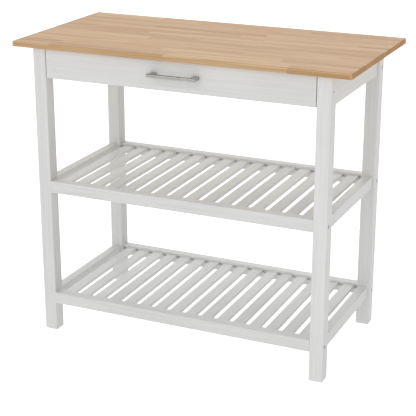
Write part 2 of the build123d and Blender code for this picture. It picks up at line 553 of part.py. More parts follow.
with BuildPart() as handle:
    half = HANDLE_LENGTH / 2
    reach = FRONT_FACE_Y - HANDLE_PROJECTION
    inside = half - HANDLE_FOOT_WIDTH
    with BuildSketch(Plane.XY.offset(HANDLE_Z - HANDLE_HEIGHT / 2)):
        with BuildLine():
            Polyline(
                (-half, FRONT_FACE_Y),
                (-half, reach),
                (half, reach),
                (half, FRONT_FACE_Y),
                (inside, FRONT_FACE_Y),
                (inside, reach + HANDLE_BAR_DEPTH),
                (-inside, reach + HANDLE_BAR_DEPTH),
                (-inside, FRONT_FACE_Y),
                close=True,
            )
        make_face()
    extrude(amount=HANDLE_HEIGHT)
    free_corners = handle.edges().filter_by(Axis.Z).filter_by(stands_clear_of_drawer)
    fillet(free_corners, radius=HANDLE_CORNER)
    rims = ShapeList(handle.faces().sort_by(Axis.Z)[0].edges() + handle.faces().sort_by(Axis.Z)[-1].edges())
    fillet(rims.filter_by(stands_clear_of_drawer), radius=HANDLE_ROUND)
    add(screw_shapes(BOX_INNER_FACE, HANDLE_SCREW_POINTS, HANDLE_SCREW_LENGTH), mode=Mode.SUBTRACT)
save(handle.part, "handle")


# ---------------------------------------------------------------- drawer slides
def make_channel(end, web_x, opens, height, flange, sheet, length, lip=0.0):
    """A bent-sheet channel along Y. Its web's outer face is at web_x and it opens towards `opens`."""
    with BuildPart() as channel:
        with BuildSketch(Plane.XZ.offset(-(SLIDE_Y + length / 2))):
            with Locations((end * (web_x + opens * sheet / 2), SLIDE_Z)):
                Rectangle(sheet, height)
            for up in (-1, 1):
                with Locations((end * (web_x + opens * flange / 2), SLIDE_Z + up * (height - sheet) / 2)):
                    Rectangle(flange, sheet)
                if lip:
                    lip_x = end * (web_x + opens * (flange - sheet / 2))
                    with Locations((lip_x, SLIDE_Z + up * (height / 2 - sheet - lip / 2))):
                        Rectangle(sheet, lip)
        extrude(amount=length)
    return channel.part


def make_slide_member(end, inner):
    """One slide channel, with holes for its screws: the inner on the drawer, the outer on the frame."""
    with BuildPart() as member:
        if inner:
            add(make_channel(end, BOX_OUTER_X, 1, INNER_HEIGHT, INNER_FLANGE, SLIDE_SHEET, SLIDE_LENGTH))
        else:
            size = (SLIDE_HEIGHT, SLIDE_FLANGE, SLIDE_SHEET, SLIDE_LENGTH, SLIDE_LIP)
            add(make_channel(end, INNER_X, -1, *size))
        plane = slide_screw_plane(end, inner)
        screw_holes = screw_shapes(plane, slide_screw_points(end, inner), SLIDE_SCREW_LENGTH, SLIDE_SHEET)
        add(screw_holes, mode=Mode.SUBTRACT)
    return member.part


def ball_places():
    """Places of one slide's balls as (y, z): two rows, above and below the inner member."""
    first = SLIDE_Y - BALL_PITCH * (BALLS_PER_ROW - 1) / 2
    rows = (SLIDE_Z - BALL_ROW_HEIGHT, SLIDE_Z + BALL_ROW_HEIGHT)
    return [(first + i * BALL_PITCH, z) for z in rows for i in range(BALLS_PER_ROW)]


def make_slide_cage(end):
    """The ball cage: a thin channel between the two members, with a pocket for each ball."""
    height = 2 * BALL_ROW_HEIGHT + CAGE_SHEET
    with BuildPart() as cage:
        add(make_channel(end, INNER_X - CAGE_WEB_OFFSET, -1, height, CAGE_FLANGE, CAGE_SHEET, CAGE_LENGTH))
        with BuildSketch(Plane.XY.offset(SLIDE_Z)):
            with Locations([(end * (INNER_X - BALL_OFFSET), y) for y, z in ball_places()[:BALLS_PER_ROW]]):
                Circle(BALL_DIAMETER / 2)
        extrude(amount=height, both=True, mode=Mode.SUBTRACT)
    return cage.part


def make_slide_balls(end):
    """The steel balls of one slide, each a separate solid held in its pocket of the cage."""
    with BuildPart() as balls:
        with Locations([(end * (INNER_X - BALL_OFFSET), y, z) for y, z in ball_places()]):
            Sphere(BALL_DIAMETER / 2)
    return balls.part


for end_name, end in (("left", -1), ("right", 1)):
    save(make_slide_member(end, inner=False), f"slide_outer_{end_name}")
    save(make_slide_member(end, inner=True), f"slide_inner_{end_name}")
    save(make_slide_cage(end), f"slide_cage_{end_name}")
    save(make_slide_balls(end), f"slide_balls_{end_name}")

for name, inner in (("slide_outer_screws", False), ("slide_inner_screws", True)):
    with BuildPart() as slide_screws:
        for end in (-1, 1):
            plane = slide_screw_plane(end, inner)
            add(make_screws(plane, slide_screw_points(end, inner), SLIDE_SCREW_LENGTH, SLIDE_SHEET))
    save(slide_screws.part, name)
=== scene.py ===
# %% [markdown]
# # A kitchen island with a hardwood worktop
#
# This lesson dresses a finished model of a kitchen island. The model arrives as a fixed frame: four
# painted legs, two slatted shelves, a full-width drawer on ball-bearing slides and a worktop. Every
# length is in metres. X runs along the worktop, Z is up, and the drawer faces -Y.
#
# The frame fixes all sizes and places. What is added here is what the eye judges: the wood of the
# worktop, the film of paint with the grain just showing through it, the brushed handle and the light.

import json
import math

import bpy
import numpy as np
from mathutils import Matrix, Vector


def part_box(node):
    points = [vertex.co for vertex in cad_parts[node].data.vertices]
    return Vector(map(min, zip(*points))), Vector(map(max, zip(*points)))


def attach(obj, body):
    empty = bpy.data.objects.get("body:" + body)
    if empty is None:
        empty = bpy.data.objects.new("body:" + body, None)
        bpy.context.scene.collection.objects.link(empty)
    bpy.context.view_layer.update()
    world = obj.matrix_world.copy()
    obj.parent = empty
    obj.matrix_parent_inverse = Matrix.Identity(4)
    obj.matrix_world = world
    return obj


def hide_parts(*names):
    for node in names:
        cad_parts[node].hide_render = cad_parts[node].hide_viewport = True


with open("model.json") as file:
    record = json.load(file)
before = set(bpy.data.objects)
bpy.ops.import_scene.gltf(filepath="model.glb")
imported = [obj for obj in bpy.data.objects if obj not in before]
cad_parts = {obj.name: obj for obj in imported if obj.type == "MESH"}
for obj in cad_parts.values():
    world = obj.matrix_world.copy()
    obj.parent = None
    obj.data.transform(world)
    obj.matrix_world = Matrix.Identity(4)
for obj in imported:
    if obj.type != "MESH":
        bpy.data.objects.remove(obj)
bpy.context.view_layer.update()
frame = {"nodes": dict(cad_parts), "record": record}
nodes = frame["nodes"]
slots = {entry["node"]: entry["material_slot"] for entry in frame["record"]["subparts"]}

# %% [markdown]
# ## Small tools for materials
#
# A material is a graph of nodes. Written out one call at a time, a graph soon gets hard to read, so two
# helpers do the typing: `put` adds a node and fills its inputs, and `calc` adds one step of arithmetic.
# An input that is given a socket is linked to it, and an input that is given a value keeps the value.


# %% Node helpers
def fill(tree, socket, value):
    """Link an input to a socket, or give it a plain value."""
    if isinstance(value, bpy.types.NodeSocket):
        tree.links.new(value, socket)
    else:
        socket.default_value = value


def put(tree, kind, inputs=None, **settings):
    """Add a node of this kind, set its properties, and fill the inputs named or numbered."""
    node = tree.nodes.new("ShaderNode" + kind)
    for name, value in settings.items():
        setattr(node, name, value)
    for name, value in (inputs or {}).items():
        fill(tree, node.inputs[name], value)
    return node


def calc(tree, operation, *values):
    """One step of arithmetic on numbers or sockets."""
    return put(tree, "Math", dict(enumerate(values)), operation=operation).outputs[0]


# A Mix node has number, vector and colour sockets under the same names, so its colours go by place.
MIX_FIRST, MIX_SECOND, MIX_RESULT = 6, 7, 2


def blend_colours(tree, share, first, second):
    """Mix two colours by a share from 0 to 1."""
    inputs = {"Factor": share, MIX_FIRST: first, MIX_SECOND: second}
    return put(tree, "Mix", inputs, data_type="RGBA").outputs[MIX_RESULT]


def remap(tree, value, low, high, to_low=0.0, to_high=1.0):
    """Stretch a value from one range to another, and hold it at the ends."""
    names = ("Value", "From Min", "From Max", "To Min", "To Max")
    node = put(tree, "MapRange", dict(zip(names, (value, low, high, to_low, to_high))))
    return node.outputs["Result"]


def new_group(name, inputs, outputs):
    """An empty node group with these named sockets, as (tree, sockets to read from, sockets to fill)."""
    tree = bpy.data.node_groups.new(name, "ShaderNodeTree")
    for label, kind in inputs.items():
        tree.interface.new_socket(name=label, in_out="INPUT", socket_type="NodeSocket" + kind)
    for label, kind in outputs.items():
        tree.interface.new_socket(name=label, in_out="OUTPUT", socket_type="NodeSocket" + kind)
    return tree, tree.nodes.new("NodeGroupInput").outputs, tree.nodes.new("NodeGroupOutput").inputs


def use_group(tree, group, **inputs):
    """Place a group in a material and return its outputs."""
    node = put(tree, "Group", node_tree=group)
    for label, value in inputs.items():
        fill(tree, node.inputs[label.replace("_", " ")], value)
    return node.outputs


def new_material(name, **settings):
    """A material with one Principled shader, its constants set here, as (material, tree, shader)."""
    material = bpy.data.materials.new(name)
    material.use_nodes = True
    tree = material.node_tree
    tree.nodes.clear()
    shader = put(tree, "BsdfPrincipled")
    output = put(tree, "OutputMaterial")
    tree.links.new(shader.outputs[0], output.inputs[0])
    for label, value in settings.items():
        shader.inputs[label.replace("_", " ")].default_value = value
    return material, tree, shader


def rgb(red, green, blue):
    """A linear colour with full alpha."""
    return (red, green, blue, 1.0)


# %% [markdown]
# ## Which way the grain runs
#
# Wood is not the same in all directions: fibres are long along the board and thin across it. Every wood
# pattern below reads a *board position*, whose first number runs along the grain. On a shelf slat that
# is Y, on a leg it is Z. The turn from the room's axes to the board's axes is a plain re-ordering of X,
# Y and Z, so the sizes stay true.

# %% Board position
GRAIN_ORDER = {"x": ("X", "Y", "Z"), "y": ("Y", "X", "Z"), "z": ("Z", "X", "Y")}


def board_position(tree, along):
    """Object coordinates re-ordered so that the first one runs along the grain."""
    place = put(tree, "TexCoord").outputs["Object"]
    parts = put(tree, "SeparateXYZ", {0: place}).outputs
    order = [parts[axis] for axis in GRAIN_ORDER[along]]
    return put(tree, "CombineXYZ", dict(enumerate(order))).outputs[0]


def stretched_noise(tree, position, per_metre, seed, detail=3.0, roughness=0.6, distortion=0.0):
    """Noise with its own number of features per metre in each direction, and a seed for each board."""
    scaled = put(tree, "VectorMath", {0: position, 1: per_metre}, operation="MULTIPLY").outputs[0]
    inputs = {"Vector": scaled, "W": seed, "Scale": 1.0, "Detail": detail, "Roughness": roughness}
    inputs["Distortion"] = distortion
    return put(tree, "TexNoise", inputs, noise_dimensions="4D").outputs["Fac"]


# %% [markdown]
# ## Grain as a group
#
# Several finishes need grain: the worktop, the bare birch of the drawer box, and even the paint, which
# lets a little of the wood under it show. So grain is one node group with three outputs. *Fibre* is the
# fine streak you see close up. *Figure* is the broad band of slow and fast growth, which bends a little.
# *Pore* marks the short dark pores of a ring-porous or diffuse-porous hardwood.

# %% Grain group
FIGURE_BANDS, BAND_SHARE = 5.0, 0.35

grain, ins, outs = new_group(
    "wood grain", {"Board": "Vector", "Seed": "Float"}, {"Fibre": "Float", "Figure": "Float", "Pore": "Float"}
)
fibre = stretched_noise(grain, ins["Board"], (7.0, 520.0, 520.0), ins["Seed"], detail=4.0)
figure = stretched_noise(grain, ins["Board"], (1.6, 44.0, 44.0), ins["Seed"], 2.5, 0.55, distortion=0.5)
pore = stretched_noise(grain, ins["Board"], (34.0, 1500.0, 1500.0), ins["Seed"], detail=1.0)
bands = calc(grain, "FRACT", calc(grain, "MULTIPLY", figure, FIGURE_BANDS))
grain.links.new(remap(grain, fibre, 0.3, 0.7), outs["Fibre"])
banded = blend_colours(grain, BAND_SHARE, figure, calc(grain, "SUBTRACT", 1.0, bands))
grain.links.new(banded, outs["Figure"])
grain.links.new(remap(grain, pore, 0.64, 0.74), outs["Pore"])
print("group:", grain.name, "nodes:", len(grain.nodes))

# %% [markdown]
# ## Staves as a group
#
# A hardwood worktop like this is glued up from narrow staves, and each row of staves is made of shorter
# pieces joined end to end, so that small stock can be used. Neighbours differ a little in colour. The
# group finds which row and which piece a point is in, gives every piece its own random *Lot* from 0 to
# 1, and marks the hair-thin glue lines. `Width` and `Length` are one piece's size in metres. The
# slatted shelves use the same group with the slat spacing as the width, so each slat gets its own lot.

# %% Stave group
GLUE_LINE = 0.00022
ROW_SHIFTS = 7.0
LOT_SEEDS = 60.0

stave, ins, outs = new_group(
    "staves",
    {"Board": "Vector", "Width": "Float", "Length": "Float"},
    {"Lot": "Float", "Second Lot": "Float", "Seed": "Float", "Joint": "Float"},
)
parts = put(stave, "SeparateXYZ", {0: ins["Board"]}).outputs
across = calc(stave, "DIVIDE", parts["Y"], ins["Width"])
row = calc(stave, "FLOOR", across)
row_random = put(stave, "TexWhiteNoise", {"W": row}, noise_dimensions="1D").outputs["Value"]
row_shift = calc(stave, "MULTIPLY", row_random, ROW_SHIFTS)
along = calc(stave, "ADD", calc(stave, "DIVIDE", parts["X"], ins["Length"]), row_shift)
piece = put(stave, "CombineXYZ", {0: row, 1: calc(stave, "FLOOR", along)}).outputs[0]
lots = put(stave, "TexWhiteNoise", {"Vector": piece}, noise_dimensions="2D").outputs
lot_parts = put(stave, "SeparateColor", {0: lots["Color"]}).outputs


def distance_to_joint(turns, size):
    """Metres from a point to the nearer end of its piece, where `turns` counts pieces."""
    share = calc(stave, "FRACT", turns)
    nearer = calc(stave, "MINIMUM", share, calc(stave, "SUBTRACT", 1.0, share))
    return calc(stave, "MULTIPLY", nearer, size)


side_gap = distance_to_joint(across, ins["Width"])
end_gap = distance_to_joint(along, ins["Length"])
joint = remap(stave, calc(stave, "MINIMUM", side_gap, end_gap), 0.0, GLUE_LINE, 1.0, 0.0)
stave.links.new(lot_parts[0], outs["Lot"])
stave.links.new(lot_parts[1], outs["Second Lot"])
stave.links.new(calc(stave, "MULTIPLY", lot_parts[2], LOT_SEEDS), outs["Seed"])
stave.links.new(joint, outs["Joint"])
print("group:", stave.name, "nodes:", len(stave.nodes))

# %% [markdown]
# ## The worktop's wood
#
# The top is a warm hardwood with a thin oiled finish. Its staves run from pinkish tan to straw. The
# colour is built in layers: a tone for each stave, then broad figure, long streaks, fine fibres, pores
# and glue lines, each weaker than the one before. Three kinds of face show three sides of the same wood.
# The flat face is the palest. The long edges cut through the side of a stave, so they are more golden
# and more striped. The two ends show end grain, which soaks up more finish and has rings for streaks.

# %% Worktop tones
top_low, top_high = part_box("top_panel")
STAVES_ACROSS = 16
STAVE_WIDTH = (top_high.y - top_low.y) / STAVES_ACROSS
STAVE_LENGTH = 0.36
EDGE_DEPTH = 0.0010
PINK_TAN = rgb(0.690, 0.410, 0.218)
STRAW = rgb(0.830, 0.580, 0.325)
DEEP_TAN = rgb(0.470, 0.250, 0.112)
PORE_BROWN = rgb(0.300, 0.150, 0.065)
GOLD_LIGHT, GOLD_DEEP = rgb(0.970, 0.730, 0.450), rgb(0.580, 0.350, 0.145)
RING_LIGHT, RING_DEEP = rgb(0.620, 0.355, 0.120), rgb(0.340, 0.165, 0.045)
LOT_DEPTH, FIGURE_DEPTH, STREAK_DEPTH, STREAK_SHINE = 0.42, 0.24, 0.60, 0.75
SIDE_STREAK_SHARE, SIDE_LOT_SHARE = 0.65, 0.35
RING_COUNT, RING_LOT_DEPTH = 9.0, 0.4
FIBRE_DEPTH, PORE_DEPTH, JOINT_DEPTH = 0.14, 0.30, 0.45
TOP_COAT = 0.05
TOP_ROUGHNESS = (0.58, 0.46)
FIBRE_RISE, JOINT_DROP = 0.5, 1.2
TOP_RELIEF, TOP_RELIEF_SIZE = 0.35, 0.00012


def near_edge(tree, coordinate, half_size, middle=0.0):
    """1 on the outermost skin of the panel in one direction, 0 inside it."""
    from_middle = calc(tree, "ABSOLUTE", calc(tree, "SUBTRACT", coordinate, middle))
    inset = calc(tree, "SUBTRACT", half_size, from_middle)
    return remap(tree, inset, EDGE_DEPTH * 0.5, EDGE_DEPTH, 1.0, 0.0)


# %% Worktop material
worktop_wood, tree, shader = new_material("oiled hardwood", Coat_Roughness=0.25, Specular_IOR_Level=0.25)
board = board_position(tree, "x")
shifted = put(tree, "VectorMath", {0: board, 1: (0, -top_low.y, 0)}, operation="ADD").outputs[0]
lots = use_group(tree, stave, Board=shifted, Width=STAVE_WIDTH, Length=STAVE_LENGTH)
wood = use_group(tree, grain, Board=board, Seed=lots["Seed"])
streak_noise = stretched_noise(tree, board, (3.0, 210.0, 210.0), lots["Seed"], 3.0, 0.65, 0.3)
streak = remap(tree, streak_noise, 0.34, 0.66)
tone = blend_colours(tree, lots["Lot"], PINK_TAN, STRAW)
depth = remap(tree, lots["Second Lot"], 0.3, 1.0, 0.0, LOT_DEPTH)
tone = blend_colours(tree, depth, tone, DEEP_TAN)
tone = blend_colours(tree, remap(tree, wood["Figure"], 0.35, 0.75, 0.0, FIGURE_DEPTH), tone, DEEP_TAN)
tone = blend_colours(tree, remap(tree, streak, 0.0, 0.6, STREAK_DEPTH, 0.0), tone, DEEP_TAN)
tone = blend_colours(tree, remap(tree, streak, 0.5, 1.0, 0.0, STREAK_SHINE), tone, STRAW)

parts = put(tree, "SeparateXYZ", {0: board}).outputs
streak_part = calc(tree, "MULTIPLY", streak, SIDE_STREAK_SHARE)
lot_part = calc(tree, "MULTIPLY", lots["Lot"], SIDE_LOT_SHARE)
side_share = calc(tree, "ADD", streak_part, lot_part)
side_tone = blend_colours(tree, side_share, GOLD_DEEP, GOLD_LIGHT)
depth_middle, depth_half = (top_low.y + top_high.y) / 2, (top_high.y - top_low.y) / 2
tone = blend_colours(tree, near_edge(tree, parts["Y"], depth_half, depth_middle), tone, side_tone)
ring_place = put(tree, "CombineXYZ", {0: 0.0, 1: parts["Y"], 2: parts["Z"]}).outputs[0]
ring_noise = stretched_noise(tree, ring_place, (1.0, 60.0, 60.0), lots["Seed"], 2.0, 0.5, 0.6)
rings = calc(tree, "FRACT", calc(tree, "MULTIPLY", ring_noise, RING_COUNT))
end_tone = blend_colours(tree, rings, RING_DEEP, RING_LIGHT)
ring_depth = remap(tree, lots["Second Lot"], 0.0, 1.0, 0.0, RING_LOT_DEPTH)
end_tone = blend_colours(tree, ring_depth, end_tone, RING_DEEP)
end_face = near_edge(tree, parts["X"], top_high.x)
tone = blend_colours(tree, end_face, tone, end_tone)
tree.links.new(remap(tree, end_face, 0.0, 1.0, TOP_COAT, 0.0), shader.inputs["Coat Weight"])

tone = blend_colours(tree, remap(tree, wood["Fibre"], 0.0, 1.0, FIBRE_DEPTH, 0.0), tone, PORE_BROWN)
tone = blend_colours(tree, calc(tree, "MULTIPLY", wood["Pore"], PORE_DEPTH), tone, PORE_BROWN)
tone = blend_colours(tree, calc(tree, "MULTIPLY", lots["Joint"], JOINT_DEPTH), tone, PORE_BROWN)
tree.links.new(tone, shader.inputs["Base Color"])
tree.links.new(remap(tree, wood["Fibre"], 0.0, 1.0, *TOP_ROUGHNESS), shader.inputs["Roughness"])
relief = calc(tree, "SUBTRACT", calc(tree, "MULTIPLY", wood["Fibre"], FIBRE_RISE), wood["Pore"])
relief = calc(tree, "SUBTRACT", relief, calc(tree, "MULTIPLY", lots["Joint"], JOINT_DROP))
bump = put(tree, "Bump", {"Height": relief, "Strength": TOP_RELIEF, "Distance": TOP_RELIEF_SIZE})
tree.links.new(bump.outputs[0], shader.inputs["Normal"])
print("material:", worktop_wood.name, "stave width (mm):", round(STAVE_WIDTH * 1000, 1))

# %% [markdown]
# ## Painted wood
#
# The legs, rails, slats, aprons and drawer front are sprayed with satin white. Real paint on real wood is
# never quite flat: the spray leaves a soft orange peel, the raised grain reads through as faint lines
# along the board, and one board takes the light a little differently from the next. The film is a group
# because the same paint covers boards that run in three directions.

# %% Paint film group
film, ins, outs = new_group(
    "paint film", {"Board": "Vector", "Seed": "Float"}, {"Height": "Float", "Tone": "Float", "Sheen": "Float"}
)
peel = stretched_noise(film, ins["Board"], (420.0, 420.0, 420.0), ins["Seed"], detail=1.5)
telegraph = stretched_noise(film, ins["Board"], (5.0, 260.0, 260.0), ins["Seed"], detail=3.0)
cloud = stretched_noise(film, ins["Board"], (3.0, 9.0, 9.0), ins["Seed"], detail=2.0)
lines = remap(film, telegraph, 0.35, 0.65)
height = calc(film, "ADD", calc(film, "MULTIPLY", peel, 0.5), calc(film, "MULTIPLY", lines, 0.5))
tone = calc(film, "ADD", calc(film, "MULTIPLY", cloud, 0.6), calc(film, "MULTIPLY", lines, 0.4))
film.links.new(height, outs["Height"])
film.links.new(tone, outs["Tone"])
film.links.new(remap(film, peel, 0.3, 0.7), outs["Sheen"])

# %% Paint materials
BOARDS_APART = 0.6
ENDLESS = 1000.0
PAINT_LIGHT = rgb(0.780, 0.781, 0.777)
PAINT_SHADE = rgb(0.672, 0.673, 0.666)
COAT_SHARE, LOT_SHARE = 0.7, 0.3
PAINT_ROUGHNESS = (0.40, 0.50)
PAINT_RELIEF, PAINT_RELIEF_SIZE = 0.30, 0.00010


def paint(name, along, spacing=BOARDS_APART, start=0.0):
    """Satin white over boards that run one way. Boards that repeat at `spacing` across get their own lot."""
    material, tree, shader = new_material(name, IOR=1.48)
    board = board_position(tree, along)
    shifted = put(tree, "VectorMath", {0: board, 1: (0.0, -start, 0.0)}, operation="ADD").outputs[0]
    lots = use_group(tree, stave, Board=shifted, Width=spacing, Length=ENDLESS)
    coat = use_group(tree, film, Board=board, Seed=lots["Seed"])
    coat_part = calc(tree, "MULTIPLY", coat["Tone"], COAT_SHARE)
    shade = calc(tree, "ADD", coat_part, calc(tree, "MULTIPLY", lots["Lot"], LOT_SHARE))
    colour = blend_colours(tree, remap(tree, shade, 0.25, 0.75), PAINT_SHADE, PAINT_LIGHT)
    tree.links.new(colour, shader.inputs["Base Color"])
    tree.links.new(remap(tree, coat["Sheen"], 0.0, 1.0, *PAINT_ROUGHNESS), shader.inputs["Roughness"])
    relief = {"Height": coat["Height"], "Strength": PAINT_RELIEF, "Distance": PAINT_RELIEF_SIZE}
    bump = put(tree, "Bump", relief)
    tree.links.new(bump.outputs[0], shader.inputs["Normal"])
    return material


slat_low, slat_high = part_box("upper_slats_left")
SLAT_COUNT = 8
SLAT_WIDTH = 0.033
SLAT_PITCH = (slat_high.x - slat_low.x - SLAT_WIDTH) / (SLAT_COUNT - 1)
SLAT_START = slat_low.x - (SLAT_PITCH - SLAT_WIDTH) / 2
paints = {
    "x": paint("white paint on long rails", "x"),
    "y": paint("white paint on side rails", "y"),
    "z": paint("white paint on legs", "z"),
    "slat": paint("white paint on slats", "y", SLAT_PITCH, SLAT_START),
}
print("paint materials:", len(paints), "slat spacing (mm):", round(SLAT_PITCH * 1000, 2))

# %% [markdown]
# ## Bare wood inside
#
# The drawer box, the cleats and the battens are sealed birch, the drawer bottom is birch plywood, and the
# dowels and pins are beech. They share one recipe with different tones, because they differ from each
# other in colour more than in kind.


# %% Bare wood materials
BARE_SEED = 3.0
BARE_FIGURE = 0.8
BARE_ROUGHNESS = (0.62, 0.50)
BARE_RELIEF, BARE_RELIEF_SIZE = 0.4, 0.0001


def bare_wood(name, along, pale, dark, strength=0.35):
    """Sealed light wood: pale ground, darker figure and fibres, and a fine bump along the grain."""
    material, tree, shader = new_material(name, IOR=1.45)
    board = board_position(tree, along)
    wood = use_group(tree, grain, Board=board, Seed=BARE_SEED)
    colour = blend_colours(tree, remap(tree, wood["Figure"], 0.3, 0.8, 0.0, BARE_FIGURE), pale, dark)
    colour = blend_colours(tree, remap(tree, wood["Fibre"], 0.0, 1.0, strength, 0.0), colour, dark)
    tree.links.new(colour, shader.inputs["Base Color"])
    tree.links.new(remap(tree, wood["Fibre"], 0.0, 1.0, *BARE_ROUGHNESS), shader.inputs["Roughness"])
    relief = {"Height": wood["Fibre"], "Strength": BARE_RELIEF, "Distance": BARE_RELIEF_SIZE}
    bump = put(tree, "Bump", relief)
    tree.links.new(bump.outputs[0], shader.inputs["Normal"])
    return material


BIRCH_PALE, BIRCH_DARK = rgb(0.66, 0.49, 0.31), rgb(0.50, 0.34, 0.19)
birch = {way: bare_wood(f"sealed birch along {way}", way, BIRCH_PALE, BIRCH_DARK) for way in "xy"}
plywood = bare_wood("birch plywood", "x", rgb(0.72, 0.65, 0.54), rgb(0.58, 0.49, 0.37), 0.5)
beech = bare_wood("bare beech", "x", rgb(0.56, 0.36, 0.21), rgb(0.40, 0.23, 0.12), 0.6)
print("bare woods:", len([*birch.values(), plywood, beech]))

# %% [markdown]
# ## Metals
#
# The handle is brushed nickel: the brush runs along the bar and leaves fine lines, so light spreads across
# them. The slides, nuts and screws are plain steel with a thin zinc coat, slightly cloudy and blue. The
# balls are polished. The brush lines change roughness and height, not colour.


# %% Metal materials
LINE_SEED, CLOUD_SEED = 2.0, 5.0
CLOUDS_PER_METRE = 60.0
METAL_RELIEF_SIZE = 0.00005


def metal(name, colour, cloud_colour, per_metre, rough_low, rough_high, relief):
    """Bare or plated metal with a stretched texture: brush lines when one count per metre is small."""
    material, tree, shader = new_material(name, Metallic=1.0)
    place = put(tree, "TexCoord").outputs["Object"]
    lines = stretched_noise(tree, place, per_metre, LINE_SEED, detail=3.0)
    cloud = stretched_noise(tree, place, (CLOUDS_PER_METRE,) * 3, CLOUD_SEED, detail=2.0)
    shade = remap(tree, cloud, 0.3, 0.7)
    tree.links.new(blend_colours(tree, shade, colour, cloud_colour), shader.inputs["Base Color"])
    tree.links.new(remap(tree, lines, 0.3, 0.7, rough_low, rough_high), shader.inputs["Roughness"])
    bump = put(tree, "Bump", {"Height": lines, "Strength": relief, "Distance": METAL_RELIEF_SIZE})
    tree.links.new(bump.outputs[0], shader.inputs["Normal"])
    return material


METALS = {
    "brushed nickel": ((0.40, 0.39, 0.37), (0.48, 0.47, 0.45), (30.0, 2600.0, 2600.0), 0.12, 0.22, 0.4),
    "zinc-plated steel": ((0.52, 0.54, 0.57), (0.60, 0.61, 0.63), (300.0, 90.0, 300.0), 0.30, 0.45, 0.2),
    "darkened bolt steel": ((0.10, 0.10, 0.10), (0.15, 0.15, 0.14), (400.0, 400.0, 400.0), 0.35, 0.50, 0.2),
    "polished ball steel": ((0.66, 0.66, 0.67), (0.70, 0.70, 0.71), (80.0, 80.0, 80.0), 0.08, 0.14, 0.05),
}
metals = {}
for name, (colour, cloudy, *texture) in METALS.items():
    metals[name] = metal(name, rgb(*colour), rgb(*cloudy), *texture)
print("metals:", ", ".join(metals))

# %% [markdown]
# ## Giving each piece its finish
#
# A piece's slot in the record says what it is made of. Which way its grain runs follows from its longest
# side, so the choice is a rule and not a long list: the longest side of a rail or a slat is the way the
# tree grew.


# %% Assign the finishes
def longest_way(name):
    """The axis of a piece's longest side: x, y or z."""
    low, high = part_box(name)
    sides = high - low
    return "xyz"[max(range(3), key=lambda axis: sides[axis])]


def finish_for(name):
    """The material for one piece of the frame."""
    slot = slots[name]
    way = longest_way(name)
    if slot == "white_paint":
        return paints["slat"] if "slats" in name else paints[way]
    if slot == "birch_wood":
        return birch[way]
    if name == "connector_bolts":
        return metals["darkened bolt steel"]
    plain = {
        "worktop_wood": worktop_wood,
        "birch_plywood": plywood,
        "beech_wood": beech,
        "brushed_nickel": metals["brushed nickel"],
        "zinc_steel": metals["zinc-plated steel"],
        "bearing_steel": metals["polished ball steel"],
    }
    return plain[slot]


for name, piece_object in nodes.items():
    piece_object.data.materials.clear()
    piece_object.data.materials.append(finish_for(name))
print("finishes given to", len(nodes), "pieces")

# %% [markdown]
# ## Two pieces worked out as surfaces
#
# The worktop and the handle are what the eye goes to first, so they get surfaces of their own in place of
# the frame's plain solids. Both are the same kind of shape: an outline seen from above, with rounded
# corners, raised into a slab whose upper and lower rims are eased. A box with a bevel would do for the
# worktop but not for the bridge shape of the handle, whose inner corners turn the other way. So one
# function rounds any outline, and another carries an edge profile round it.
#
# Light needs exact normals on such slabs: the flat faces are long, and a normal that leans by a few
# degrees at one end would put a false glow on the whole face. The normals are known from the same
# formulas as the points, so they are worked out too and stored with the mesh.


# %% Rounded outline
def rounded_outline(corners, radii, steps=7):
    """Round the corners of an outline that runs anticlockwise, and give its points and outward normals.

    At each corner the outward normal turns evenly from the normal of the side before to that of the side
    after. The point is the corner, moved in by radius x (sum of the two normals) / (1 + their dot product)
    to the arc's centre, and out again by radius x normal. At an inner corner both moves change sign.
    """
    corners = np.asarray(corners, float)
    radii = np.asarray(radii, float)[:, None, None]
    before = corners - np.roll(corners, 1, axis=0)
    before /= np.linalg.norm(before, axis=1, keepdims=True)
    after = np.roll(before, -1, axis=0)
    crossed = before[:, 0] * after[:, 1] - before[:, 1] * after[:, 0]
    turn = np.arctan2(crossed, (before * after).sum(axis=1))
    first = np.stack([before[:, 1], -before[:, 0]], axis=1)
    second = np.stack([after[:, 1], -after[:, 0]], axis=1)
    reach = (first + second) / (1.0 + (first * second).sum(axis=1, keepdims=True))
    way = np.sign(turn)[:, None, None]
    angle = np.arctan2(first[:, 1], first[:, 0])[:, None] + turn[:, None] * np.linspace(0.0, 1.0, steps)
    normals = np.stack([np.cos(angle), np.sin(angle)], axis=2)
    points = corners[:, None, :] + way * radii * (normals - reach[:, None, :])
    return points.reshape(-1, 2), normals.reshape(-1, 2)


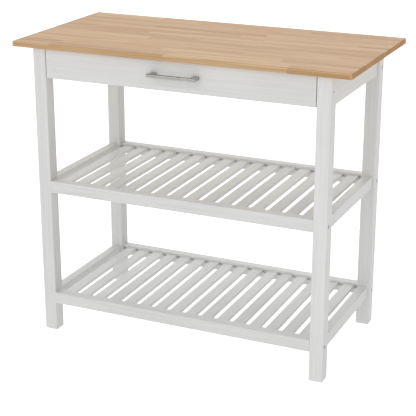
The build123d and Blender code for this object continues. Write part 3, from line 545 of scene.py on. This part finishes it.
# %% Eased slab
def eased_slab(name, outline, bottom, top, lower_ease, upper_ease, steps=7):
    """A closed slab over an outline, with quarter-round rims.

    On a rim of radius r, at an angle a from level, the outline moves in by r (1 - cos a) and up or down
    by r sin a from the start of the rim, and the normal is cos a outwards and sin a upwards.
    """
    points, outward = outline
    quarter = np.linspace(0.0, np.pi / 2, steps)
    lean = np.concatenate([-quarter[::-1], quarter])[:, None]
    ease = np.concatenate([np.full(steps, lower_ease), np.full(steps, upper_ease)])[:, None]
    start = np.concatenate([np.full(steps, bottom + lower_ease), np.full(steps, top - upper_ease)])[:, None]
    inset = ease * (1.0 - np.cos(lean))
    flat = points[None] - inset[..., None] * outward[None]
    heights = np.broadcast_to(start + ease * np.sin(lean), flat.shape[:2])
    places = np.concatenate([flat, heights[..., None]], axis=2).reshape(-1, 3)
    level = np.cos(lean)[..., None] * outward[None]
    rise = np.broadcast_to(np.sin(lean), flat.shape[:2])
    normals = np.concatenate([level, rise[..., None]], axis=2).reshape(-1, 3)

    rings, around = flat.shape[:2]
    index = np.arange(rings * around).reshape(rings, around)
    beside = np.roll(index, -1, axis=1)
    sides = np.stack([index[:-1], beside[:-1], beside[1:], index[1:]], axis=2).reshape(-1, 4)
    faces = sides.tolist() + [index[0, ::-1].tolist(), index[-1].tolist()]
    mesh = bpy.data.meshes.new(name)
    mesh.from_pydata(places.tolist(), [], faces)
    mesh.polygons.foreach_set("use_smooth", np.ones(len(faces), bool))
    mesh.normals_split_custom_set_from_vertices(normals.tolist())
    piece = bpy.data.objects.new(name, mesh)
    bpy.context.scene.collection.objects.link(piece)
    return piece


def stand_in(piece, node, body):
    """Let a new piece take the place, the finish and the motion of one piece of the frame."""
    piece.data.materials.append(finish_for(node))
    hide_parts(node)
    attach(piece, body)
    print(piece.name, "faces:", len(piece.data.polygons))


# %% [markdown]
# ## The worktop
#
# The panel's corners are rounded a little in plan so that nobody is hurt by them, and a light pass of a
# round-over cutter has broken the upper arris. The lower arris is only sanded.

# %% Worktop piece
TOP_CORNER, TOP_UPPER_EASE, TOP_LOWER_EASE = 0.0060, 0.0040, 0.0012
top_corners = [
    (top_low.x, top_low.y),
    (top_high.x, top_low.y),
    (top_high.x, top_high.y),
    (top_low.x, top_high.y),
]
top_outline = rounded_outline(top_corners, [TOP_CORNER] * 4)
worktop = eased_slab("worktop", top_outline, top_low.z, top_high.z, TOP_LOWER_EASE, TOP_UPPER_EASE)
stand_in(worktop, "top_panel", "frame")

# %% [markdown]
# ## The handle
#
# The handle is a flat bridge of solid metal: two feet against the drawer, and a bar between them. It is
# brushed after the edges are eased, and the upper edge is eased more than the lower one. That rounded
# upper edge mirrors the dark space overhead as a thin line between the light top and the light front,
# which is what makes metal look like metal. The feet go a little way into the drawer front, so that the
# easing never opens a gap behind them.

# %% Handle piece
HANDLE_BAR, HANDLE_FOOT = 0.0080, 0.0200
HANDLE_OUTER_CORNER, HANDLE_INNER_CORNER, HANDLE_HIDDEN_CORNER = 0.0034, 0.0030, 0.0030
HANDLE_UPPER_EASE, HANDLE_LOWER_EASE = 0.0028, 0.0012
HANDLE_SUNK = 0.0035
grip_low, grip_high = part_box("handle")
face_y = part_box("drawer_front")[0].y + HANDLE_SUNK
bar_back = grip_low.y + HANDLE_BAR
left_inner, right_inner = grip_low.x + HANDLE_FOOT, grip_high.x - HANDLE_FOOT
handle_corners = [
    (grip_low.x, grip_low.y),
    (grip_high.x, grip_low.y),
    (grip_high.x, face_y),
    (right_inner, face_y),
    (right_inner, bar_back),
    (left_inner, bar_back),
    (left_inner, face_y),
    (grip_low.x, face_y),
]
outer, inner, hidden = HANDLE_OUTER_CORNER, HANDLE_INNER_CORNER, HANDLE_HIDDEN_CORNER
handle_radii = [outer, outer, hidden, hidden, inner, inner, hidden, hidden]
handle_outline = rounded_outline(handle_corners, handle_radii)
grip = eased_slab(
    "bridge_handle", handle_outline, grip_low.z, grip_high.z, HANDLE_LOWER_EASE, HANDLE_UPPER_EASE
)
stand_in(grip, "handle", "drawer")

# %% [markdown]
# ## Light, floor and camera
#
# Product light is soft and comes from everywhere. Here it is an even white world with four broad suns:
# a key just left of the front, a weak fill on the right, a stronger one on the left, and one from behind.
# Two more things work by the kind of ray. The floor is one large pale plane that glows, and it glows more
# for the camera than for the object, so it looks white without flooding the shelves from below. And the
# world is dark overhead to reflections only, so that metal has something dark to mirror.

# %% Floor
FLOOR_HALF = 30.0
FLOOR_GREY = 0.80
# How strongly the floor glows for the camera, and for every other ray.
FLOOR_LIFT, FLOOR_GLOW = 0.66, 0.32
floor_mesh = bpy.data.meshes.new("floor")
corners = FLOOR_HALF * np.array([(-1, -1, 0), (1, -1, 0), (1, 1, 0), (-1, 1, 0)], float)
floor_mesh.from_pydata(corners.tolist(), [], [(0, 1, 2, 3)])
floor = bpy.data.objects.new("floor", floor_mesh)
bpy.context.scene.collection.objects.link(floor)
floor_white, tree, shader = new_material("pale floor", Roughness=0.9, Specular_IOR_Level=0.1)
shader.inputs["Emission Color"].default_value = rgb(1.0, 1.0, 1.0)
shader.inputs["Base Color"].default_value = rgb(FLOOR_GREY, FLOOR_GREY, FLOOR_GREY)
seen = put(tree, "LightPath").outputs["Is Camera Ray"]
tree.links.new(remap(tree, seen, 0.0, 1.0, FLOOR_GLOW, FLOOR_LIFT), shader.inputs["Emission Strength"])
floor_mesh.materials.append(floor_white)

# %% World and lamps
WORLD_LIGHT = 0.50
# What a reflection sees level and overhead, and the heights between which one turns into the other.
LEVEL_SHEEN, ZENITH_SHEEN = 0.95, 0.12
SHEEN_LOW, SHEEN_HIGH = 0.36, 0.52
world = bpy.data.worlds.new("studio")
bpy.context.scene.world = world
world.use_nodes = True
tree = world.node_tree
sky = tree.nodes["Background"]
sky.inputs["Color"].default_value = rgb(1.0, 1.0, 1.0)
rays = put(tree, "LightPath").outputs
direction = put(tree, "SeparateXYZ", {0: put(tree, "TexCoord").outputs["Generated"]}).outputs
sheen = remap(tree, direction["Z"], SHEEN_LOW, SHEEN_HIGH, LEVEL_SHEEN, ZENITH_SHEEN)
mirrored = calc(tree, "MULTIPLY", rays["Is Glossy Ray"], calc(tree, "SUBTRACT", sheen, WORLD_LIGHT))
strength = calc(tree, "ADD", mirrored, remap(tree, rays["Is Camera Ray"], 0.0, 1.0, WORLD_LIGHT, 1.0))
tree.links.new(strength, sky.inputs["Strength"])


def soft_sun(name, turn, height, spread, strength):
    """Broad even light from one direction: `turn` goes round from the front, `height` is above the floor."""
    data = bpy.data.lights.new(name, "SUN")
    data.energy = strength
    data.angle = math.radians(spread)
    holder = bpy.data.objects.new(name, data)
    side, rise = math.radians(turn), math.radians(height)
    towards = Vector((math.sin(side) * math.cos(rise), -math.cos(side) * math.cos(rise), math.sin(rise)))
    holder.rotation_euler = towards.to_track_quat("Z", "Y").to_euler()
    bpy.context.scene.collection.objects.link(holder)


SUNS = {
    "key light": (-12.0, 25.0, 45.0, 0.62),
    "right fill": (62.0, 18.0, 50.0, 0.26),
    "left fill": (-100.0, 34.0, 50.0, 0.48),
    "back fill": (195.0, 38.0, 50.0, 0.62),
}
for name, settings in SUNS.items():
    soft_sun(name, *settings)

# %% Camera
CAMERA_PLACE = (1.431, -3.172, 1.603)
CAMERA_TURN = 24.34
CAMERA_TILT = 19.32
CAMERA_LENS = 106.1
camera_data = bpy.data.cameras.new("camera")
camera_data.sensor_width = 36.0
camera_data.lens = CAMERA_LENS
camera = bpy.data.objects.new("camera", camera_data)
camera.location = CAMERA_PLACE
camera.rotation_euler = (math.radians(90.0 - CAMERA_TILT), 0.0, math.radians(CAMERA_TURN))
bpy.context.scene.collection.objects.link(camera)
bpy.context.scene.camera = camera
bpy.context.scene.view_settings.view_transform = "Standard"
print("camera lens (mm):", CAMERA_LENS)
